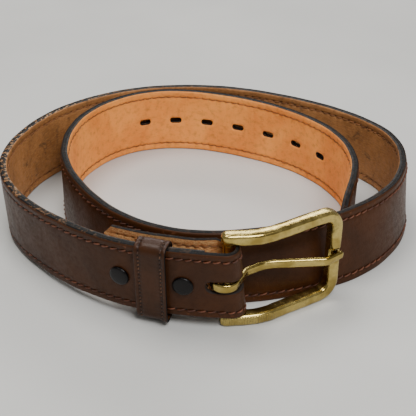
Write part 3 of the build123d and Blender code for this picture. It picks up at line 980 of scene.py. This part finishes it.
def make_buckle_tongue():
    """A forged strip, bent round the bar and on to the tip that lies in the end bar's notch."""
    middle = RING_R - RING_THICK / 2
    rest = RAIL_DEPTH / 2 - NOTCH_DEPTH + TONGUE_THICK / 2 + NOTCH_CLEARANCE
    turns = np.radians(np.linspace(RING_ENTRY, RING_LEAVE, 60))
    ring = RING_SHIFT + middle * pile(np.cos(turns), np.sin(turns))
    ring_ways = pile(np.sin(turns), -np.cos(turns))
    shank = [tuple(ring[-1]), *TONGUE_BENDS, (FRAME_REACH + TONGUE_TIP, rest)]
    line, line_ways = rounded_path(shank, [6, 20, 6], SWEEP_STEP)
    flat = np.concatenate([ring[:-1], line])
    flat_ways = np.concatenate([ring_ways[:-1], line_ways])
    places = pile(flat[:, 0], 0 * flat[:, 0], flat[:, 1])
    ways = pile(flat_ways[:, 0], 0 * flat_ways[:, 0], flat_ways[:, 1])
    run = run_lengths(places)
    grown = smooth_step((run - run[len(ring)]) / 12)
    rings = []
    for index, (place, way) in enumerate(zip(places, ways)):
        thick = RING_THICK + (TONGUE_THICK - RING_THICK) * grown[index]
        narrow = 1 - 0.12 * smooth_step((run[index] - run[-1] + 14) / 14)
        section = rounded_section(TONGUE_WIDTH * narrow, thick, TONGUE_ROUND, 0.06)
        size = blunt_end(min(run[index], run[-1] - run[index]), TONGUE_END_LENGTH, 0.35)
        out = np.array([-way[2], 0, way[0]])
        rings.append(place + size * (section[:, :1] * np.array([0, 1, 0]) + section[:, 1:] * out))
    rings = np.array(rings)
    faces = tube_faces(len(rings), rings.shape[1], caps=False)
    points, faces = add_centre_caps(rings.reshape(-1, 3), faces, rings.shape[1], len(rings))
    runs = np.concatenate([np.repeat(run, rings.shape[1]), [0, run[-1]]])
    piece = make_mesh("buckle_prong", buckle_place(points), faces, [MATERIAL["brass"]],
                      run=runs, filed=0 * runs)
    finish_piece(piece, "tongue", "brass", "buckle_tongue")


# ---- Keeper and snaps ----

def keeper_loop():
    """Places and outward directions round the keeper's middle surface, from one butted end to the other.
    The first number is outward from the strap's grain and the second up from mid width."""
    half = KEEPER_THICK / 2
    back, front = -KEEPER_BACK - half, KEEPER_FRONT + half
    top, bottom = KEEPER_TOP + half, -KEEPER_BOTTOM - half
    gap = KEEPER_GAP / 2
    route = [(back, gap), (back, top), (front, top), (front, bottom), (back, bottom), (back, -gap)]
    places, ways = rounded_path(route, [KEEPER_CORNER - half] * 4, KEEPER_PITCH / 4)
    outs = pile(-ways[:, 1], ways[:, 0])
    return places, outs


def keeper_columns():
    """The keeper's section: places across its width, and 1 for its outer side or -1 for its inner side."""
    inward = [0, 0.13, 0.45, 1.05, 1.85, 2.15, 2.4, 2.65, 2.95, 4.15, 5.95, 7.75]
    outer = [KEEPER_WIDTH / 2 - distance for distance in inward]
    outer = [-w for w in outer] + outer[-2::-1]
    inner = [7.6, 7.2, 3.6, 0, -3.6, -7.2, -7.6]
    return np.array(outer + inner), np.array([1] * len(outer) + [-1] * len(inner))


def keeper_flare(across, outward):
    """How far the keeper's front edges stand off, the right one the most; nothing at its back."""
    front = smooth_step((outward + 1.5) / 3)
    return front * (1.1 * smooth_step((across - 2.5) / 5.25) + 0.25 * smooth_step((-across - 4) / 4))


def make_keeper():
    places, outs = keeper_loop()
    run = run_lengths(places)
    across, side = keeper_columns()
    at = run[:, None]
    edge = KEEPER_WIDTH / 2 - np.abs(across)
    phase = at - np.round(at / KEEPER_PITCH) * KEEPER_PITCH
    beside = np.abs(across) - KEEPER_SEAM
    sewn = (side > 0) & (at > KEEPER_SEAM_START) & (at < run[-1] - KEEPER_SEAM_START)
    hole = sewn * np.exp(-(phase / 0.7) ** 2 - (beside / 0.6) ** 2)
    pull = sewn * 0.18 * np.exp(-(beside / 0.45) ** 2) + 0.35 * hole
    crown = 0.16 * (1 - (across / (KEEPER_WIDTH / 2)) ** 2)
    flare = keeper_flare(across, places[:, :1])
    offset = side * (KEEPER_THICK / 2 - edge_drop(edge, KEEPER_EDGE_ROUND)) - pull + crown + flare
    spots = places[:, None] + outs[:, None] * offset[..., None]
    points = pile(across, spots[..., 1], spots[..., 0]).reshape(-1, 3)
    ring = len(across)
    faces = tube_faces(len(places), ring, caps=False)
    points, faces = add_centre_caps(points, faces, ring, len(places))

    def spread_out(values, first, last):
        return np.concatenate([np.broadcast_to(values, offset.shape).ravel(), [first, last]])

    paint = 0.8 * (1 - smooth_step((edge - 0.05) / 0.35))
    none = spread_out(0.0, 0, 0)
    # the stitch-hole mask goes in to paint shade into the keeper's holes
    piece = make_mesh("keeper_loop", on_strap(points, KEEPER_STATION, 0), faces, [MATERIAL["keeper"]],
                      along=spread_out(at, run[0], run[-1]),
                      across=spread_out(across + KEEPER_INSIDE * (side < 0), 0, 0),
                      dent=spread_out(hole, 0, 0), paint=spread_out(paint, 0.8, 0.8), rim=none, worn=none)
    finish_piece(piece, "keeper", "keeper_leather", "keeper_band")
    make_keeper_seam(places, outs, run, 1, "keeper_stitches_right", "keeper_stitching_right")
    make_keeper_seam(places, outs, run, -1, "keeper_stitches_left", "keeper_stitching_left")
    make_staple()


def make_keeper_seam(places, outs, run, side, name, node_name):
    """A row of short slanted stitches round the keeper."""
    shuffle = random.Random(11 + side)
    _, outward, up = axes_at(KEEPER_STATION)
    shares = np.array([0.0, 0.25, 0.5, 0.75, 1.0])
    arch = np.array([-0.6, -0.05, 0.06, -0.05, -0.6])
    widths = 0.3 * np.array([0.6, 0.95, 1, 0.95, 0.6])
    across = side * KEEPER_SEAM + 0.35 * (0.5 - shares)
    first = math.ceil(KEEPER_SEAM_START / KEEPER_PITCH)
    last = math.floor((run[-1] - KEEPER_SEAM_START) / KEEPER_PITCH)
    tubes = []
    for index in range(first, last):
        at = index * KEEPER_PITCH + 0.3 + shares * (KEEPER_PITCH - 0.6)
        place = pile(*(np.interp(at, run, column) for column in places.T))
        out = pile(*(np.interp(at, run, column) for column in outs.T))
        flare = keeper_flare(side * KEEPER_SEAM, place[:, 0])
        rise = KEEPER_THICK / 2 + arch - shuffle.uniform(0, 0.08) + flare
        spot = place + out * rise[:, None]
        line = on_strap(pile(across, spot[:, 1], spot[:, 0]), KEEPER_STATION, 0)
        normal = outward * out[2, 0] + up * out[2, 1]
        tubes.append(thread_tube(line, widths, np.cross(outward, up), normal))
    finish_piece(add_tubes(name, tubes, MATERIAL["keeper_thread"]), "keeper", "thread", node_name)


def make_staple():
    """The wire staple that holds the keeper's butted ends."""
    deep = KEEPER_BACK + KEEPER_THICK + 0.5
    inside = KEEPER_BACK + 0.3
    route = [(0, STAPLE_HALF, -inside), (0, STAPLE_HALF, -deep),
             (0, -STAPLE_HALF, -deep), (0, -STAPLE_HALF, -inside)]
    places, ways = rounded_path(route, [STAPLE_BEND, STAPLE_BEND], 0.3)
    angles = circle(STAPLE_SIDES)
    section = STAPLE_WIRE_R * pile(np.cos(angles), np.sin(angles))
    rings = sweep_rings(places, ways, section, np.array([1.0, 0, 0]), np.ones(len(places)))
    faces = tube_faces(len(rings), STAPLE_SIDES)
    points = on_strap(rings.reshape(-1, 3), KEEPER_STATION, 0)
    piece = make_mesh("keeper_wire", points, faces, [MATERIAL["steel"]])
    finish_piece(piece, "keeper", "steel_wire", "keeper_staple")


CAP_PROFILE = [(0.02, 1.62), (1.6, 1.6), (3.2, 1.5), (4.1, 1.36), (4.5, 1.22), (4.78, 1.0), (4.94, 0.72),
               (5.0, 0.42), (4.97, 0.1), (4.8, -0.2), (4.2, -0.3)]
HEAD_PROFILE = [(0.02, 0.35), (1.0, 0.36), (1.5, 0.42), (1.9, 0.66), (2.6, 0.74), (3.5, 0.68), (4.0, 0.48),
                (4.2, 0.2), (4.1, -0.05), (3.4, -0.12)]


def make_turned(name, points, station, offset):
    """A turned snap part on the strap, from the points of its rings."""
    faces = tube_faces(len(points) // LATHE_SIDES, LATHE_SIDES)
    return make_mesh(name, on_strap(points, station, offset), faces, [MATERIAL["gunmetal"]])


def make_snaps():
    """The caps at the front and the rivet heads on the flap; sockets and studs are the CAD's own."""
    cap_points = lathe(CAP_PROFILE)[::-1]
    head_points = lathe(HEAD_PROFILE) * np.array([1, 1, -1])
    for number, station in enumerate(SNAP_STATIONS, start=1):
        cap = make_turned(f"snap_{number}_button", cap_points, station, CAP_LIFT)
        finish_piece(cap, "strap", "snap_metal", f"snap_{number}_cap")
        head = make_turned(f"snap_{number}_rivet", head_points, station, -FLAP_DEPTH - HEAD_LIFT)
        finish_piece(head, "strap", "snap_metal", f"snap_{number}_post")
        for kind in ("socket", "stud"):
            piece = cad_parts[f"snap_{number}_{kind}"]
            piece.data.materials.clear()
            piece.data.materials.append(MATERIAL["gunmetal"])


# ---- Stage ----

LOOK_AT = Vector((0.00078, 0.01535, 0.0))            # metres, like the lights' places
CAMERA_AT = Vector((0.00078, -0.4662, 0.2974))
CAMERA_LENS = 87.32
CAMERA_ROLL = math.radians(1.0)
FLOOR_SIDE = 6000.0
FLOOR_LINES = 13
FLOOR_GAP = 0.02                         # below the leather


def make_camera():
    data = bpy.data.cameras.new("camera")
    data.lens = CAMERA_LENS
    data.sensor_width = 36.0
    data.clip_start = 0.02
    camera = add_object("camera", data)
    camera.location = CAMERA_AT
    camera.rotation_euler = (LOOK_AT - CAMERA_AT).to_track_quat("-Z", "Y").to_euler()
    camera.rotation_euler.rotate_axis("Z", CAMERA_ROLL)
    bpy.context.scene.camera = camera


def add_light(name, at, target, size, power, tint=(1.0, 1.0, 1.0)):
    """A rectangle of light turned to its target; places and sizes here are metres."""
    data = bpy.data.lights.new(name, "AREA")
    data.shape = "RECTANGLE"
    data.size, data.size_y = size
    data.energy = power
    data.color = tint
    light = add_object(name, data)
    light.location = at
    light.rotation_mode = "QUATERNION"
    light.rotation_quaternion = (Vector(target) - Vector(at)).to_track_quat("-Z", "Y")


def pale_floor():
    """Matt pale grey, very slightly cloudy."""
    material, tree, surface = new_material("pale_floor")
    place = solid_place(tree)
    grain = noise(tree, place, 900.0, 3, 0.5)
    cloud = spread(tree, noise(tree, place, 6.0, 3, 0.5), 0.3, 0.7)
    base = mix(tree, cloud, colour(196, 196, 193), colour(204, 204, 201))
    set_surface(tree, surface, base, spread(tree, grain, 0.2, 0.8, 0.8, 0.9), grain, 0.05)
    return material


def make_floor():
    lines = np.linspace(-FLOOR_SIDE / 2, FLOOR_SIDE / 2, FLOOR_LINES)
    x, y = np.meshgrid(lines, lines)
    faces = []
    for row in range(FLOOR_LINES - 1):
        for column in range(FLOOR_LINES - 1):
            here = row * FLOOR_LINES + column
            there = here + FLOOR_LINES
            faces.append((here, here + 1, there + 1, there))
    floor = make_mesh("floor", pile(x, y, 0 * x - FLOOR_GAP), faces, [pale_floor()])


def make_stage():
    make_floor()
    world = bpy.data.worlds.new("soft_room")
    world.use_nodes = True
    background = world.node_tree.nodes["Background"]
    background.inputs["Color"].default_value = (1.0, 0.98, 0.95, 1.0)
    background.inputs["Strength"].default_value = 0.28
    bpy.context.scene.world = world
    add_light("strip", (0.1, 1.3, 0.95), (0.0, 0.0, 0.02), (1.2, 0.22), 9.0)
    add_light("window", (0.35, -0.7, 1.1), (0.0, 0.0, 0.0), (0.6, 0.6), 14.0)
    add_light("ceiling", (-0.35, 0.25, 1.3), (0.0, 0.0, 0.0), (0.8, 0.5), 11.0, (1.0, 0.97, 0.93))


make_strap()
make_keeper()
make_snaps()
make_buckle_frame()
make_buckle_tongue()
make_stage()
make_camera()
